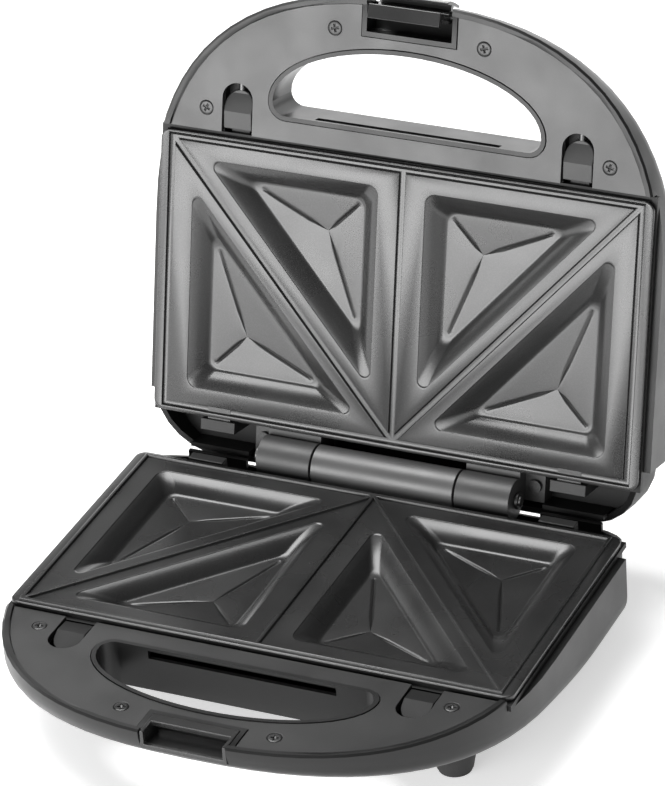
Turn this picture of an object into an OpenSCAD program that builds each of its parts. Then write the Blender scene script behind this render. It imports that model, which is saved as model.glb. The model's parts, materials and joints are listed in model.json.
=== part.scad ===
// Two-slice sandwich toaster with its lid standing open.
// Both halves are drawn in a half frame: X across, Y forward from the rear edge of the plate,
// Z up to the parting plane at z = 0. A half lies below that plane, so its depths are -z.
// in_base() and in_lid() then put a half in its place. The origin is on the table, in the middle.

/* [Plates] */
// Width of a plate
plate_w = 236; // [232:1:244]
// Length of a plate, from rear to front
plate_l = 132; // [128:1:138]
// Thickness of the plate's flange
plate_t = 2.7; // [2.2:0.1:3.2]
// Gap between the two rims when the lid is closed
rim_gap = 0.6; // [0.4:0.1:1]
// Width of the raised bead on the lower plate
bead_w = 2; // [1.6:0.1:2.4]
// Height of the bead
bead_h = 1.2; // [0.8:0.1:1.3]
// Width of the groove in the upper plate
groove_w = 3.2; // [2.8:0.1:3.8]
// Depth of the groove
groove_h = 1.6; // [1.4:0.1:1.8]
// Bead line in from the side edges
bead_side = 5.5; // [5:0.1:7]
// Bead line in from the rear edge
bead_rear = 3.4; // [2.4:0.1:5]
// Bead line in from the front edge
bead_front = 2.5; // [2:0.1:4]
// Land between a diagonal bead and the pockets
diagonal_land = 6.9; // [6:0.1:8]
// Land between the middle bead and the front pockets
middle_land = 11.5; // [10:0.1:13]
// Land between the front and rear beads and the pockets
end_land = 9.2; // [8:0.1:11]
// Land between the side beads and the rear pockets
side_land = 11; // [10:0.1:13]
// Depth of a pocket at its deepest point
pocket_h = 7.7; // [6.5:0.1:8]
// Depth of a pocket where its wall ends
pocket_wall_h = 5.2; // [4.5:0.1:5.8]
// How far a pocket's wall leans in
pocket_lean = 9; // [7:0.5:10]

/* [Shell] */
// Depth of one half, from the parting plane to the flat outside
half_h = 37; // [36:0.5:42]
// Gap between the plate's side edge and the outside of the cover
cover_margin = 3.9; // [3.5:0.1:5]
// Length of the handle, from the plate's front edge to the cover's front
handle_l = 73.4; // [72:0.2:78]
// Where the cover's sides start to curve, back from the plate's front edge
crown_back = 42; // [36:1:48]
// Wall of the covers and of the rear blocks
wall_t = 2.2; // [1.8:0.1:2.6]
// How far the cover's top rim is drawn in
rim_in = 1; // [0.6:0.1:2]
// How far the cover's flat outside is drawn in
belly_in = 9; // [7:0.5:12]
// Height over which it is drawn in
belly_h = 12; // [10:0.5:14]
// Rise of the cover's outside towards the handle's front, for each mm along it
rise_rate = 0.16; // [0.12:0.01:0.18]

/* [Handle] */
// Half width of the finger hole in the panel
finger_half_w = 66.5; // [62:0.5:67]
// Height of the finger hole's arch
finger_arch = 31; // [28:0.5:32]
// Thickness of the handle panel
panel_t = 2; // [1.6:0.1:2.4]
// Width of the latch notch
notch_w = 40.4; // [36:0.4:44]
// Radius of a panel screw's head
screw_head_r = 3.5; // [3:0.1:3.8]

/* [Release tongues] */
// Distance from the plate's side to a tongue's middle
tongue_side = 36.7; // [36:0.1:38]
// Width of a tongue
tongue_w = 13.6; // [12:0.2:14]
// Travel of a tongue
tongue_travel = 3.5; // [2.5:0.1:3.5]

/* [Hinge and latch] */
// How far the lid stands open, in degrees
lid_open = 103.6; // [95:0.1:105]
// Distance from the plate's rear edge to the hinge axis
hinge_back = 13.5; // [13:0.1:15]
// Radius of the hinge barrel
barrel_r = 9.6; // [8:0.1:9.8]
// Radius of the hinge pin
pin_r = 2.5; // [2:0.1:3]
// Half width of the middle barrel
mid_barrel_half = 34.5; // [30:0.5:36]
// Width of a lid knuckle
knuckle_w = 26; // [22:0.5:28]
// Swing of the latch lever, in degrees
latch_swing = 15; // [12:0.5:16]
// Width of the latch lever
latch_w = 34; // [30:0.5:34]

/* [Feet] */
// Height of a foot below the flat outside of the base
foot_h = 6; // [4:0.5:8]
// Radius of a foot at the table
foot_r = 8; // [6:0.5:9]

/* [Hidden] */
// Fits and gaps
run_fit = 0.05;
pin_seat = 0.02;
slide_gap = 0.3;
panel_gap = 0.4;
cut = 1;

// Plates
plate_half = plate_w / 2;
rim_d = rim_gap / 2;
deck_d = rim_d + plate_t;
bead_x = plate_half - bead_side;
bead_far = plate_l - bead_front;
cell_l = bead_far - bead_rear;
diagonal_l = norm([bead_x, cell_l]);
corner_r = 4.5;
skirt_half = plate_half - 8.6;
skirt_rear = 3.4;
skirt_front = plate_l - 3.7;
skirt_t = 1.6;
skirt_d = 9;
cup_d = 11;
cup_t = 2;
tab_w = 11;
tab_x = plate_half - 32.5;
tab_t = 1.4;
tab_l = 3;

// Housing
deck_t = 2.5;
deck_half = plate_half + 0.6;
deck_rear = -1;
deck_front = plate_l + 2;
tub_half = plate_half - 6;
tub_t = 1.8;
tub_front = plate_l - 0.5;
floor_d = 19;
floor_t = 2;
block_half = plate_half - 0.8;
block_rear = -hinge_back - 9;
block_front = 8;
block_r = 28;
rim_low = 12.5;
rim_high = 4;
web_d = 6;

// Cover
cover_half_w = plate_half + cover_margin;
cover_front = plate_l + handle_l;
crown_y = plate_l - crown_back;
crown_l = cover_front - crown_y;
roundness = 2.5;
roll_d = 0.8;
rise_start = 35;
rise_full = 75;
belly_angles = [0:15:90];
arch_n = 36;
side_cut_d = deck_d + deck_t;
ledge_t = 2;
ledge_w = 3.4;
cover_floor_d = half_h - wall_t;

// Handle
panel_d = 1.3;
panel_in = rim_in + 2.4;
panel_rear = deck_front + 0.2;
under_panel_d = panel_d + panel_t;
finger_y = plate_l + 20;
finger_low = plate_l + 11.3;
tube_t = 2;
tube_d = 0.9;
screw_xy = [[plate_half - 21.6, plate_l + 12.4], [plate_half - 82.6, cover_front - 16.5]];
panel_screw_d = 12.4;
post_r = 4;
screw_r = 1.5;
notch_rear = cover_front - 15.9;
lid_notch_d = 11;
base_notch_d = 9;

// Release tongues
tongue_x = plate_half - tongue_side;
tongue_rear = plate_l + 4;
tongue_l = 17.6;
tongue_low_d = 8;
slot_w = tongue_w + 1.2;
slot_front = tongue_rear + tongue_l + tongue_travel + panel_gap;
nose_half = 4.5;
nose_top_d = 6;
spring_r = 1.5;
spring_l = 7;
guide_half = tongue_w / 2 + 2.2;

// Hinge
arm_half = 7.5;
arm_y = -hinge_back + 4.5;
arm_top_d = 4;
arm_out = mid_barrel_half + 36.5;
knuckle_in = mid_barrel_half + 1;
knuckle_out = knuckle_in + knuckle_w;
base_screw_x = mid_barrel_half + 5;
lid_screw_x = mid_barrel_half + 32;

// Latch, drawn hooked and then swung free
latch_y = cover_front - 5.9;
latch_d = 7;
latch_pin_r = 1.2;
latch_barrel_r = 3.2;
hook_tip = 6;
catch_bar_d = 3;

// Heater
tube_r = 3;
tube_y = cup_d + tube_r + 0.1;
leg_x = plate_half - 63;
leg_rear = 8;
bend_r = 20;
loop_front = plate_l - 26;
pin_drop_y = 11;
pin_end_d = 27;
clamp_l = 10;
housing_screws = [[plate_half - 23, 20], [plate_half - 23, plate_l - 20]];
housing_screw_d = 25;
pin_wire_x = leg_x - 2.8;

// Feet and lead
foot_top_d = 24;
front_foot_top_d = 20;
neck_r = 3;
front_neck_d = floor_d + floor_t + 0.8;
pad_t = 1.5;
foot_d = half_h + foot_h;
front_foot = [90, plate_l - 2];
rear_foot = [80, -4];
inlet_x = 70;
inlet_d = floor_d + floor_t + 7;
inlet_r = 4;
inlet_end = block_rear + 11.5;
terminal_y = block_rear + 13.5;
lamp_x = 12;
lamp_y = plate_l - 42;
lamp_r = 2.4;
lamp_l = 6.4;
lens_r = 3.2;
lens_proud = 0.8;

$fn = 48;

// How far the outside has risen from its flat rear part
function rise(y) = y <= rise_start ? 0
    : y < rise_full ? rise_rate * (y - rise_start) * (y - rise_start) / (2 * (rise_full - rise_start))
    : rise_rate * (y - (rise_start + rise_full) / 2);

// How far the belly draws a section in, and how much of its height is still to come
function belly_side(a) = belly_in * (1 - cos(a));
function belly_left(a, y) = min(belly_h, half_h - rise(y) - roll_d - 0.2) * (1 - sin(a));

// The cover's outline: straight sides and a superelliptic front, the same on both sides
rise_steps = [for (k = [0:5]) rise_start + (rise_full - rise_start) * k / 5];
function cover_outline(i, rear) =
    let (w = cover_half_w - i, along = concat([rear], rise_steps))
    concat([for (y = along) [w, y]],
           [for (k = [0:arch_n])
               let (a = 180 * k / arch_n, c = cos(a))
               [sign(c) * w * pow(abs(c), 2 / roundness),
                crown_y + (crown_l - i) * pow(sin(a), 2 / roundness)]],
           [for (k = [len(along) - 1:-1:0]) [-w, along[k]]]);

function lift(points, z) = [for (p = points) [p.x, p.y, z]];

// A ring of the cover at an angle of the belly, above the risen outside
function belly_ring(a, wall, rear) =
    [for (p = cover_outline(wall + belly_side(a), rear))
        [p.x, p.y, rise(p.y) + wall + belly_left(a, p.y) * (1 - wall / belly_h) - half_h]];

// Centre of the whole toaster between the base's front and the open lid's back
lid_back = max([for (a = belly_angles) let (y = cover_front - belly_side(a))
    (half_h - rise(y) - belly_left(a, y)) * sin(lid_open) - (hinge_back + y) * cos(lid_open)]);
hinge_y = (hinge_back + cover_front - lid_back) / 2;
axis_z = foot_d;

module in_base()
    translate([0, hinge_y, axis_z]) mirror([0, 1, 0]) translate([0, hinge_back, 0]) children();

module in_lid()
    translate([0, hinge_y, axis_z]) rotate([180 - lid_open, 0, 0]) translate([0, hinge_back, 0]) children();

module both_sides() {
    children();
    mirror([1, 0, 0]) children();
}

// A flat shape made solid between two depths
module slab(from, to)
    translate([0, 0, -to]) linear_extrude(to - from) children();

module block(x0, x1, y0, y1, d0, d1)
    translate([x0, y0, -d1]) cube([x1 - x0, y1 - y0, d1 - d0]);

// A round post or bore between two depths
module post(xy, r, d0, d1)
    translate([xy.x, xy.y, -d1]) cylinder(r = r, h = d1 - d0);

// A round bar along X, at a place and a depth
module bar_x(x0, x1, y, d, r)
    translate([x0, y, -d]) rotate([0, 90, 0]) cylinder(r = r, h = x1 - x0);

// A round bar along Y
module bar_y(x, y0, y1, d, r)
    translate([x, y0, -d]) rotate([-90, 0, 0]) cylinder(r = r, h = y1 - y0);

// A solid through a stack of rings with equal numbers of points, from the lowest up
module skin(rings) {
    n = len(rings[0]);
    last = len(rings) - 1;
    sides = [for (r = [0:last - 1], j = [0:n - 1])
        let (a = r * n + j, b = r * n + (j + 1) % n)
        each [[a, b + n, b], [a, a + n, b + n]]];
    bottom = [[for (j = [0:n - 1]) j]];
    top = [[for (j = [0:n - 1]) last * n + n - 1 - j]];
    polyhedron([for (ring = rings) each ring], concat(sides, bottom, top));
}

// The same, with its risen floor closed by flat strips from side to side
module strip_skin(rings) {
    n = len(rings[0]);
    last = len(rings) - 1;
    sides = [for (r = [0:last - 1], j = [0:n - 1])
        let (a = r * n + j, b = r * n + (j + 1) % n)
        each [[a, b + n, b], [a, a + n, b + n]]];
    middle = (n - 1) / 2;
    strips = [for (j = [0:middle - 2]) [j, j + 1, n - 2 - j, n - 1 - j]];
    tip = [[middle - 1, middle, middle + 1]];
    top = [[for (j = [0:n - 1]) last * n + n - 1 - j]];
    polyhedron([for (ring = rings) each ring], concat(sides, strips, tip, top));
}

// Covers

module cover_outside()
    strip_skin(concat(
        [for (k = [90:-15:0]) belly_ring(k, 0, block_front)],
        [lift(cover_outline(0, block_front), -roll_d), lift(cover_outline(rim_in, block_front), 0)]));

module cover_inside()
    strip_skin(concat(
        [for (k = [90:-15:0]) belly_ring(k, wall_t, block_front - cut)],
        [lift(cover_outline(wall_t, block_front - cut), cut)]));

// The finger hole's outline, drawn in by a distance
function finger_outline(i) = concat(
    [for (a = [0:6:180]) [(finger_half_w - i) * cos(a), finger_y + (finger_arch - i) * sin(a)]],
    [for (a = [180:15:270]) finger_corner(-1, i, a)],
    [for (a = [270:15:360]) finger_corner(1, i, a)]);
function finger_corner(side, i, a) =
    let (r = finger_y - finger_low)
    [side * (finger_half_w - r) + (r - i) * cos(a), finger_y - 0.01 + (r - i) * sin(a)];

// The handle's part of the cover's outline, drawn in by a distance
module handle_outline(i, rear)
    intersection() {
        polygon(cover_outline(i, 0));
        translate([-plate_w, rear]) square([2 * plate_w, handle_l + cut]);
    }

module handle_ring(inner, from, to)
    slab(from, to) difference() {
        handle_outline(0, panel_rear);
        handle_outline(inner, panel_rear - cut);
    }

// Room for a release tongue's guide
module tongue_way()
    block(tongue_x - guide_half - slide_gap, tongue_x + guide_half + slide_gap, deck_front - 3,
          slot_front + 8 + slide_gap, under_panel_d, tongue_low_d + 2.3);

module cover_half(notch_d) {
    notch_half = notch_w / 2;
    intersection() {
        cover_outside();
        difference() {
            union() {
                difference() {
                    block(-cover_half_w, cover_half_w, block_front, cover_front, 0, half_h);
                    cover_inside();
                }
                handle_ring(rim_in + ledge_t, 0, under_panel_d);
                handle_ring(panel_in + ledge_w, under_panel_d, under_panel_d + ledge_t);
                slab(tube_d, half_h) polygon(finger_outline(panel_gap));
                slab(under_panel_d, under_panel_d + ledge_t) polygon(finger_outline(-ledge_t));
                block(-notch_half - wall_t, notch_half + wall_t, notch_rear - wall_t, cover_front,
                      tube_d, notch_d + wall_t);
                both_sides() for (p = screw_xy) post(p, post_r, under_panel_d, half_h);
                both_sides() for (p = housing_screws) post(p, post_r, floor_d + floor_t, half_h);
                both_sides() block(tub_half + cut, cover_half_w, block_front, deck_front - 3,
                                   side_cut_d, side_cut_d + ledge_t);
                block(-cover_half_w, cover_half_w, block_front, block_front + wall_t, side_cut_d, half_h);
            }
            slab(-cut, half_h + cut) polygon(finger_outline(panel_gap + tube_t));
            block(-44, 44, finger_low - cut, finger_low + 4, 2.4, 6.4);
            block(-notch_half, notch_half, notch_rear, cover_front + cut, -cut, notch_d);
            both_sides() for (p = screw_xy) post(p, screw_r + run_fit, 0, panel_screw_d + 0.6);
            both_sides() for (p = housing_screws) post(p, screw_r + run_fit, floor_d, housing_screw_d + 0.6);
            both_sides() tongue_way();
            block(-cover_half_w - cut, cover_half_w + cut, 0, deck_front + 0.5, -cut, side_cut_d);
            block(-tub_half - slide_gap, tub_half + slide_gap, 0, tub_front + slide_gap, -cut,
                  floor_d + floor_t);
            block(-leg_x - 4, leg_x + 4, 0, block_front + wall_t + cut, floor_d, cover_floor_d);
        }
    }
}

module base_cover()
    color([0.16, 0.16, 0.17]) in_base() difference() {
        cover_half(base_notch_d);
        both_sides() post(front_foot, neck_r + run_fit, front_neck_d - cut, foot_d);
    }

module lid_cover()
    color([0.16, 0.16, 0.17]) in_lid() difference() {
        cover_half(lid_notch_d);
        for (side = [-1, 1]) at_lamp(side) post([0, 0], lens_r + run_fit, -wall_t - cut, cut);
        block(-notch_w / 2, notch_w / 2, latch_y + 1.6, cover_front + cut, 0, half_h);
        bar_x(-notch_w / 2 - wall_t, notch_w / 2 + wall_t, latch_y, latch_d, latch_pin_r + pin_seat);
    }

// Housings: the deck round the plate, the tub under it and the rear block round the hinge

function block_outline(i, wall) =
    let (w = block_half - i - wall, rear = block_rear + 0.35 * i + wall, r = max(8, block_r - i - wall))
    concat([[w, block_front], [-w, block_front]],
           [for (a = [180:15:270]) [r - w + r * cos(a), rear + r + r * sin(a)]],
           [for (a = [270:15:360]) [w - r + r * cos(a), rear + r + r * sin(a)]]);

module rear_block(wall, bottom, top)
    skin(concat([for (k = [90:-15:0])
        lift(block_outline(belly_side(k), wall), belly_left(k, 0) * (1 - wall / belly_h) - bottom)],
        [lift(block_outline(0, wall), -top)]));

module rear_rim_cut()
    translate([-plate_w, 0, 0]) rotate([90, 0, 90]) linear_extrude(2 * plate_w)
        polygon([[deck_rear, cut], [deck_rear, -rim_high], [block_rear, -rim_low],
                 [block_rear - 10, -rim_low], [block_rear - 10, cut]]);

module tongue_guide() {
    x0 = tongue_x - guide_half;
    x1 = tongue_x + guide_half;
    stop = slot_front + 1;
    difference() {
        union() {
            block(x0, x1, tub_front - tub_t, stop + 7, tongue_low_d + slide_gap, tongue_low_d + 2);
            block(x0, x1, deck_front, stop + 7, 4.2, tongue_low_d + slide_gap + 0.1);
        }
        block(tongue_x - tongue_w / 2 - slide_gap, tongue_x + tongue_w / 2 + slide_gap,
              tub_front - tub_t, stop, 0, tongue_low_d + slide_gap);
        bar_y(tongue_x, stop - cut, stop + 6, 6.2, spring_r + 0.1);
    }
}

// Wall that closes the view through the rear block, low enough to clear the other half's
module rear_web()
    block(arm_out + 1, block_half - 16, -hinge_back - 4, -hinge_back - 2, web_d, floor_d + 0.1);

module housing_half() {
    both_sides() rear_web();
    difference() {
        union() {
            intersection() {
                rear_block(0, half_h, deck_d);
                union() {
                    difference() {
                        block(-plate_half, plate_half, block_rear, block_front, 0, half_h);
                        translate([0, cut, 0]) rear_block(wall_t, cover_floor_d, -cut);
                    }
                    block(-plate_half, plate_half, block_rear, cut, floor_d, floor_d + floor_t);
                }
            }
            block(-deck_half, deck_half, deck_rear, deck_front, deck_d, deck_d + deck_t);
            block(-tub_half, tub_half, 0, tub_front, deck_d + cut, floor_d + floor_t);
            both_sides() tongue_guide();
        }
        block(tub_t - tub_half, tub_half - tub_t, tub_t, tub_front - tub_t, 0, floor_d);
        rear_rim_cut();
        both_sides() {
            block(tongue_x - nose_half - slide_gap, tongue_x + nose_half + slide_gap,
                  tub_front - tub_t - cut, tongue_rear, nose_top_d - slide_gap, tongue_low_d + slide_gap);
            post([leg_x, pin_drop_y], 2.5, floor_d - cut, floor_d + floor_t + cut);
            for (p = housing_screws) post(p, screw_r + 0.2, floor_d - cut, floor_d + floor_t + cut);
        }
    }
}

module base_housing()
    color([0.05, 0.05, 0.055]) in_base() difference() {
        housing_half();
        bar_y(inlet_x, block_rear - cut, inlet_end, inlet_d, inlet_r + run_fit);
        both_sides() {
            post(rear_foot, neck_r + run_fit, foot_top_d, foot_d);
            post([base_screw_x, arm_y], screw_r + run_fit, floor_d - cut, floor_d + floor_t + cut);
        }
    }

module lid_housing()
    color([0.05, 0.05, 0.055]) in_lid() difference() {
        housing_half();
        both_sides() post([lid_screw_x, arm_y], screw_r + run_fit, floor_d - cut, floor_d + floor_t + cut);
    }

// Handle panels

module tongue_slot(grow)
    translate([tongue_x, 0]) union() {
        r = tongue_w / 2 + grow;
        translate([0, slot_front - r]) circle(r);
        translate([-r, panel_rear - cut]) square([2 * r, slot_front - r - panel_rear + cut]);
    }

module panel_half() {
    bezel = notch_w / 2 + wall_t + panel_gap;
    difference() {
        slab(panel_d, under_panel_d) difference() {
            handle_outline(panel_in, panel_rear);
            polygon(finger_outline(0));
            both_sides() tongue_slot((slot_w - tongue_w) / 2);
            translate([-bezel, notch_rear - wall_t - panel_gap]) square([2 * bezel, 40]);
        }
        both_sides() for (p = screw_xy) {
            post(p, screw_r + 0.2, 0, under_panel_d + cut);
            countersink(p, run_fit);
        }
    }
}

module countersink(p, grow)
    translate([p.x, p.y, -panel_d - 1.9])
        cylinder(r1 = screw_r + grow, r2 = screw_head_r + grow, h = 1.9 + grow);

module base_panel() color([0.12, 0.12, 0.125]) in_base() panel_half();
module lid_panel() color([0.2, 0.2, 0.205]) in_lid() panel_half();

module panel_screw(p)
    difference() {
        union() {
            countersink(p, 0);
            post(p, screw_r, panel_d + 1.8, panel_screw_d);
        }
        for (a = [45, 135])
            translate([p.x, p.y, -panel_d - 0.4]) rotate(a) cube([4.2, 0.8, 1], center = true);
    }

module panel_screws() both_sides() for (p = screw_xy) panel_screw(p);
module base_panel_screws() color([0.35, 0.35, 0.36]) in_base() panel_screws();
module lid_panel_screws() color([0.35, 0.35, 0.36]) in_lid() panel_screws();

// Plates

// Where a line beside the diagonal bead crosses a given Y or a given X
function diagonal_x(y, land) = ((y - bead_rear) * bead_x - land * diagonal_l) / cell_l;
function diagonal_y(x, land) = bead_rear + (x * cell_l + land * diagonal_l) / bead_x;

// The two pockets of a half plate, each as right angle, tip, tip, turning left
function front_pocket() =
    let (x = middle_land, y = bead_far - end_land)
    [[x, y], [x, diagonal_y(x, diagonal_land)], [diagonal_x(y, diagonal_land), y]];
function rear_pocket() =
    let (x = bead_x - side_land, y = bead_rear + end_land)
    [[x, y], [x, diagonal_y(x, -diagonal_land)], [diagonal_x(y, -diagonal_land), y]];

function side_l(t, k) = norm(t[(k + 1) % 3] - t[(k + 2) % 3]);
function incentre(t) =
    (side_l(t, 0) * t[0] + side_l(t, 1) * t[1] + side_l(t, 2) * t[2])
    / (side_l(t, 0) + side_l(t, 1) + side_l(t, 2));
function inradius(t) =
    let (a = t[1] - t[0], b = t[2] - t[0])
    abs(a.x * b.y - a.y * b.x) / (side_l(t, 0) + side_l(t, 1) + side_l(t, 2));

// A triangle with round corners, drawn in by a distance
function round_triangle(t, i) =
    let (c = incentre(t), r_in = inradius(t))
    [for (k = [0:2])
        let (r = k == 0 ? 5 : 3,
             p = t[k] + (c - t[k]) * (i + r) / r_in,
             e0 = t[k] - t[(k + 2) % 3],
             e1 = t[(k + 1) % 3] - t[k],
             a0 = atan2(-e0.x, e0.y),
             turn = (atan2(-e1.x, e1.y) - a0 + 720) % 360)
        for (m = [0:6]) p + r * [cos(a0 + turn * m / 6), sin(a0 + turn * m / 6)]];

// The pocket's wall curves in like a quarter of a wave, and three facets fall to its lowest point
module pocket(t) {
    c = incentre(t);
    steps = 4;
    wall = [for (k = [steps:-1:0])
        let (f = k / steps, i = pocket_lean * (1 - cos(90 * f)), d = pocket_wall_h * pow(f, 0.85))
        lift(round_triangle(t, i), -rim_d - d)];
    skin(concat([lift([for (p = round_triangle(t, pocket_lean)) c + (p - c) * 0.02], -rim_d - pocket_h)],
                wall, [lift(round_triangle(t, 0), cut)]));
}

module cup(t)
    skin([lift(round_triangle(t, 8), -cup_d), lift(round_triangle(t, 5), -8),
          lift(round_triangle(t, -cup_t), -deck_d + 0.1)]);

// The line of the beads, as bars of a width and height whose top lies at a given z
module bead_lines(w, z0, z1) {
    module bar(from, to) {
        run = to - from;
        translate([from.x, from.y, z0]) rotate(atan2(run.y, run.x))
            translate([-w / 2, -w / 2, 0]) cube([norm(run) + w, w, z1 - z0]);
    }
    bar([-bead_x, bead_rear], [bead_x, bead_rear]);
    bar([-bead_x, bead_far], [bead_x, bead_far]);
    bar([0, bead_rear], [0, bead_far]);
    both_sides() {
        bar([bead_x, bead_rear], [bead_x, bead_far]);
        bar([0, bead_rear], [bead_x, bead_far]);
    }
}

function corner(x, y, r, a0) = [for (a = [a0:15:a0 + 90]) [x + r * cos(a), y + r * sin(a)]];
function plate_outline() = concat(
    corner(plate_half - corner_r, plate_l - corner_r, corner_r, 0),
    corner(corner_r - plate_half, plate_l - corner_r, corner_r, 90),
    corner(corner_r - plate_half, corner_r, corner_r, 180),
    corner(plate_half - corner_r, corner_r, corner_r, 270));

module plate_half_body() {
    difference() {
        union() {
            slab(rim_d, deck_d) polygon(plate_outline());
            difference() {
                block(-skirt_half, skirt_half, skirt_rear, skirt_front, deck_d - 0.1, skirt_d);
                block(skirt_t - skirt_half, skirt_half - skirt_t, skirt_rear + skirt_t,
                      skirt_front - skirt_t, deck_d, skirt_d + cut);
            }
            both_sides() {
                cup(front_pocket());
                cup(rear_pocket());
                block(tab_x - tab_w / 2, tab_x + tab_w / 2, -tab_l, corner_r, deck_d - tab_t, deck_d);
            }
        }
        both_sides() {
            pocket(front_pocket());
            pocket(rear_pocket());
            block(tongue_x - nose_half - slide_gap, tongue_x + nose_half + slide_gap,
                  skirt_front - skirt_t - cut, skirt_front + cut,
                  nose_top_d - slide_gap, tongue_low_d + slide_gap);
        }
    }
}

module lower_plate()
    color([0.17, 0.17, 0.175]) in_base() union() {
        plate_half_body();
        bead_lines(bead_w, -rim_d - 0.1, bead_h - rim_d);
    }

module upper_plate()
    color([0.32, 0.33, 0.335]) in_lid() difference() {
        plate_half_body();
        bead_lines(groove_w, -rim_d - groove_h, cut);
    }

// Heaters, reflectors and what regulates them

module element_loop() {
    bend_y = loop_front - bend_r;
    bend_x = leg_x - bend_r;
    both_sides() {
        bar_y(leg_x, leg_rear, bend_y, tube_y, tube_r);
        translate([bend_x, bend_y, -tube_y])
            rotate_extrude(angle = 90) translate([bend_r, 0]) circle(tube_r);
        post([leg_x, pin_drop_y], 1.5, tube_y, pin_end_d);
    }
    bar_x(-bend_x, bend_x, loop_front, tube_y, tube_r);
}

module element_clamps() {
    grip = tube_r + 0.1;
    both_sides() difference() {
        union() {
            block(leg_x - 8, leg_x + 8, 27, 27 + clamp_l, cup_d, floor_d - 0.9);
            block(23, 23 + clamp_l, loop_front - 8, loop_front + 8, cup_d, floor_d - 0.9);
        }
        bar_y(leg_x, 27 - cut, 27 + clamp_l + cut, tube_y, grip);
        block(leg_x - grip, leg_x + grip, 27 - cut, 27 + clamp_l + cut, cup_d - cut, tube_y);
        bar_x(23 - cut, 23 + clamp_l + cut, loop_front, tube_y, grip);
        block(23 - cut, 23 + clamp_l + cut, loop_front - grip, loop_front + grip, cup_d - cut, tube_y);
    }
}

module reflector()
    difference() {
        block(-88, 88, 8, plate_l - 8, floor_d - 0.6, floor_d);
        both_sides() post([leg_x, pin_drop_y], 3.5, floor_d - cut, floor_d + cut);
    }

module thermostat() {
    post([0, 64], 8, deck_d, 9);
    post([0, 64], 5.5, 9, 12);
    both_sides() block(2, 2.8, 61, 67, 12, 16);
}

module housing_screw_set()
    both_sides() for (p = housing_screws) {
        post(p, screw_r, floor_d - 0.1, housing_screw_d);
        post(p, 2 * screw_r, floor_d - 1.8, floor_d);
    }

module lower_element() color([0.45, 0.44, 0.43]) in_base() element_loop();
module upper_element() color([0.45, 0.44, 0.43]) in_lid() element_loop();
module lower_element_clamps() color([0.6, 0.6, 0.6]) in_base() element_clamps();
module upper_element_clamps() color([0.6, 0.6, 0.6]) in_lid() element_clamps();
module lower_reflector() color([0.75, 0.75, 0.76]) in_base() reflector();
module upper_reflector() color([0.75, 0.75, 0.76]) in_lid() reflector();
module base_thermostat() color([0.55, 0.5, 0.4]) in_base() thermostat();
module lid_thermostat() color([0.55, 0.5, 0.4]) in_lid() thermostat();
module base_screws() color([0.5, 0.5, 0.5]) in_base() housing_screw_set();
module lid_screws() color([0.5, 0.5, 0.5]) in_lid() housing_screw_set();

module thermal_fuse()
    color([0.85, 0.83, 0.78]) in_base() union() {
        block(-3, 3, 90, 102, deck_d, deck_d + 5);
        bar_y(0, 84, 108, deck_d + 2.5, 0.8);
    }

module terminal_block()
    color([0.9, 0.9, 0.88]) in_base() difference() {
        block(18, 50, terminal_y, terminal_y + 12, cover_floor_d - 8.8, cover_floor_d);
        for (x = [24, 34, 44]) bar_y(x, terminal_y - cut, terminal_y + 12 + cut, cover_floor_d - 4.8, 1.6);
    }

module lead_inlet()
    color([0.04, 0.04, 0.04]) in_base() difference() {
        union() {
            bar_y(inlet_x, block_rear + 1.5, inlet_end, inlet_d, inlet_r);
            bar_y(inlet_x, inlet_end - 1.5, inlet_end, inlet_d, inlet_r + 1.3);
        }
        bar_y(inlet_x, block_rear, inlet_end + cut, inlet_d, inlet_r - 1.2);
    }

// A wire through hand-chosen places, each as x, y and depth
module wire(route)
    for (k = [0:len(route) - 2]) hull() for (p = [route[k], route[k + 1]])
        translate([p.x, p.y, -p.z]) sphere(1.1, $fn = 12);

module base_wiring()
    color([0.7, 0.7, 0.68]) in_base() union() {
        wire([[24, 4.4, 30], [24, 16, 30], [pin_wire_x, 16, 30], [pin_wire_x, pin_drop_y, 30],
              [pin_wire_x, pin_drop_y, 26]]);
        wire([[34, 4.4, 30], [34, 12, 30], [34, 12, 33], [34, 22, 33], [-pin_wire_x, 22, 33],
              [-pin_wire_x, pin_drop_y, 33], [-pin_wire_x, pin_drop_y, 26]]);
        wire([[inlet_x, inlet_end - 3, inlet_d], [inlet_x, -3, inlet_d], [51.2, -3, inlet_d]]);
    }

module lid_wiring()
    color([0.7, 0.7, 0.68]) in_lid() union() {
        for (side = [-1, 1]) wire([[side * pin_wire_x, pin_drop_y, 26], [side * pin_wire_x, pin_drop_y, 29],
            [side * pin_wire_x, 18, 29], [side * lamp_x, 18, 29], [side * lamp_x, 60, 29],
            [side * lamp_x, lamp_y - lamp_r - 2.1, 27]]);
    }

// Lamps in the top of the lid, with their lenses

// Places a lamp on the risen outside and square to it, with depth 0 at the outside
module at_lamp(side)
    translate([side * lamp_x, lamp_y, rise(lamp_y) - half_h]) rotate([atan(rise_rate), 0, 0]) children();

module indicator_lamps()
    color([0.9, 0.6, 0.4]) in_lid() for (side = [-1, 1]) at_lamp(side)
        post([0, 0], lamp_r, -lamp_l, -0.6);

module lamp_lenses()
    color([0.7, 0.1, 0.05]) in_lid() for (side = [-1, 1]) at_lamp(side) difference() {
        union() {
            post([0, 0], lens_r, -wall_t - 0.1, lens_proud);
            post([0, 0], lens_r + 1.4, -wall_t - 1, -wall_t - run_fit);
        }
        post([0, 0], lamp_r + run_fit, -wall_t - 2, -0.5);
    }

// Rear clips, hinge and feet

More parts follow.
